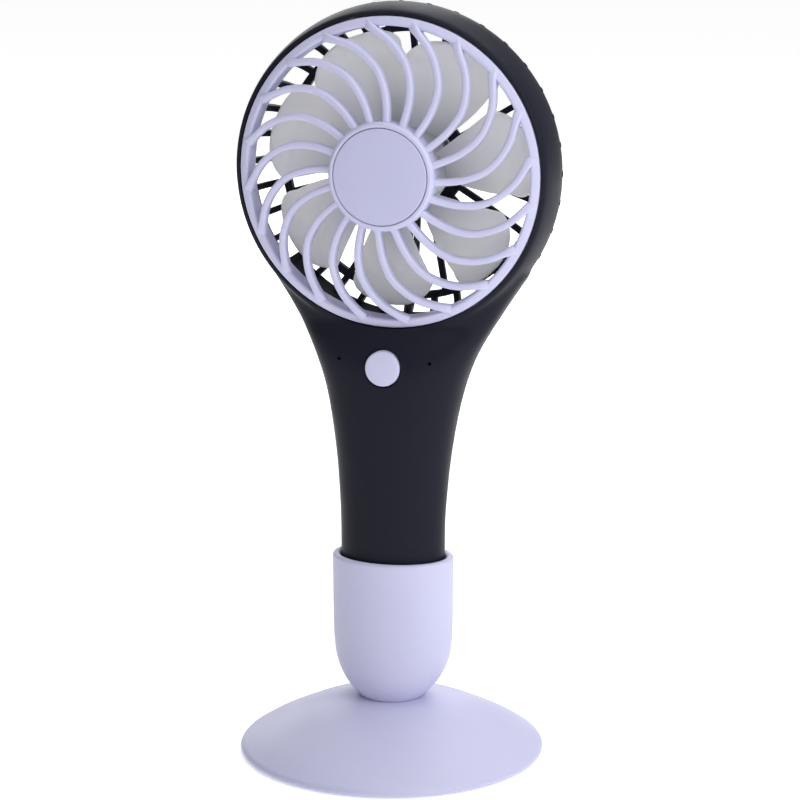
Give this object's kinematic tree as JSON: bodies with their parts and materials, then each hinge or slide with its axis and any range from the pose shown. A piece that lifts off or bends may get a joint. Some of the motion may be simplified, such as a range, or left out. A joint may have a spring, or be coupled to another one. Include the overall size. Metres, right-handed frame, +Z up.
{
  "type": "handheld electric fan with desk stand",
  "caption": "Handheld fan with a round domed grille, curved ribs, oval grip and push button, standing in the cup of a round domed desk base.",
  "frame": {"origin": "under the middle of the round stand base, on the surface it rests on", "axes": "+Z up along the grip, the fan blows towards -Y, +X to the right of a viewer who faces the fan"},
  "size_m": [0.097, 0.0908, 0.2226],
  "materials": {
    "black_abs": "satin spark-eroded ABS",
    "lavender_abs": "fine matt ABS",
    "badge_abs": "fine matt ABS, a shade darker",
    "frosted_pp": "frosted translucent polypropylene",
    "steel": "plated steel",
    "copper": "enamelled copper winding",
    "white_plastic": "moulded nylon",
    "black_screw": "black oxide steel",
    "circuit_board": "solder mask on glass-epoxy board",
    "led_lens": "clear epoxy",
    "cell_wrap": "shrink film",
    "red_wire": "PVC insulation",
    "black_wire": "PVC insulation",
    "grey_rubber": "matt moulded rubber"
  },
  "bodies": {
    "stand": {"stand_cup": "lavender_abs", "cup_disc": "grey_rubber", "base_shell": "lavender_abs", "base_weight": "steel", "base_cover": "lavender_abs", "anti_slip_ring": "grey_rubber", "stand_screw": "steel"},
    "fan": {"front_shell": "black_abs", "rear_shell": "black_abs", "front_grille": "lavender_abs", "hub_badge": "badge_abs", "motor_can": "steel", "motor_end_cap": "white_plastic", "motor_screw_1": "black_screw", "motor_screw_2": "black_screw", "tact_switch": "steel", "main_board": "circuit_board", "status_led_1": "led_lens", "status_led_2": "led_lens", "charge_board": "circuit_board", "charge_port": "steel", "battery_cell": "cell_wrap", "cell_tab_top": "steel", "cell_tab_bottom": "steel", "battery_lead_red": "red_wire", "battery_lead_black": "black_wire", "motor_lead_1": "black_wire", "motor_lead_2": "black_wire", "shell_screw_1": "black_screw", "shell_screw_2": "black_screw", "shell_screw_3": "black_screw", "shell_screw_4": "black_screw"},
    "rotor": {"impeller": "frosted_pp", "motor_shaft": "steel", "motor_armature": "copper"},
    "button": {"power_button": "lavender_abs", "switch_plunger": "black_abs"}
  },
  "joints": [
    {"name": "fan_lift", "type": "slide", "parent": "stand", "child": "fan", "axis": [0, 0, 1], "range_m": [0, 0.031]},
    {"name": "impeller_spin", "type": "hinge", "parent": "fan", "child": "rotor", "pos_m": [0, 0.008, 0.1741], "axis": [0, 1, 0], "continuous": true},
    {"name": "button_press", "type": "slide", "parent": "fan", "child": "button", "axis": [0, 1, 0], "range_m": [0, 0.0005], "stiffness_N_per_m": 1500, "springref_m": -0.0005}
  ]
}
